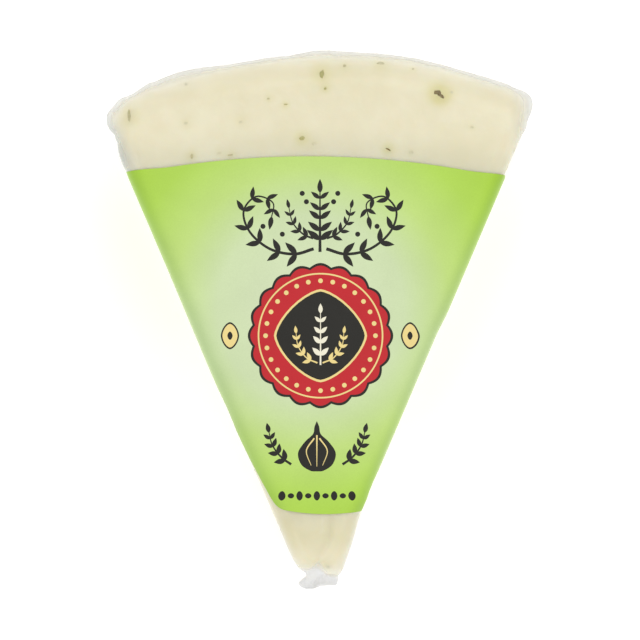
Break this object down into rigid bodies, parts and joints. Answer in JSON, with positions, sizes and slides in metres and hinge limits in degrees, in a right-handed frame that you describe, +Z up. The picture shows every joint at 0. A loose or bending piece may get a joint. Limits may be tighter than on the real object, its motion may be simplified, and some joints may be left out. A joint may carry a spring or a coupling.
{
  "type": "herb goat cheese",
  "caption": "Wedge of creamy goat cheese with herb flecks in clear shrink film, gathered at the tip, with a printed label wrapped over one face and both cut sides.",
  "frame": {"origin": "middle of the outline, on the surface that the wedge lies on", "axes": "+Z up out of the labelled face, +Y from the tip to the rind, +X to the right as seen with the tip toward the viewer"},
  "size_m": [0.0818, 0.1033, 0.037],
  "materials": {
    "cheese_in_film": "creamy white cheese with herb flecks under tight clear film",
    "label_print": "satin printed plastic label, light green with dark, red and cream print"
  },
  "bodies": {
    "root": {"wrapped_wedge": "cheese_in_film", "label": "label_print"}
  },
  "joints": []
}
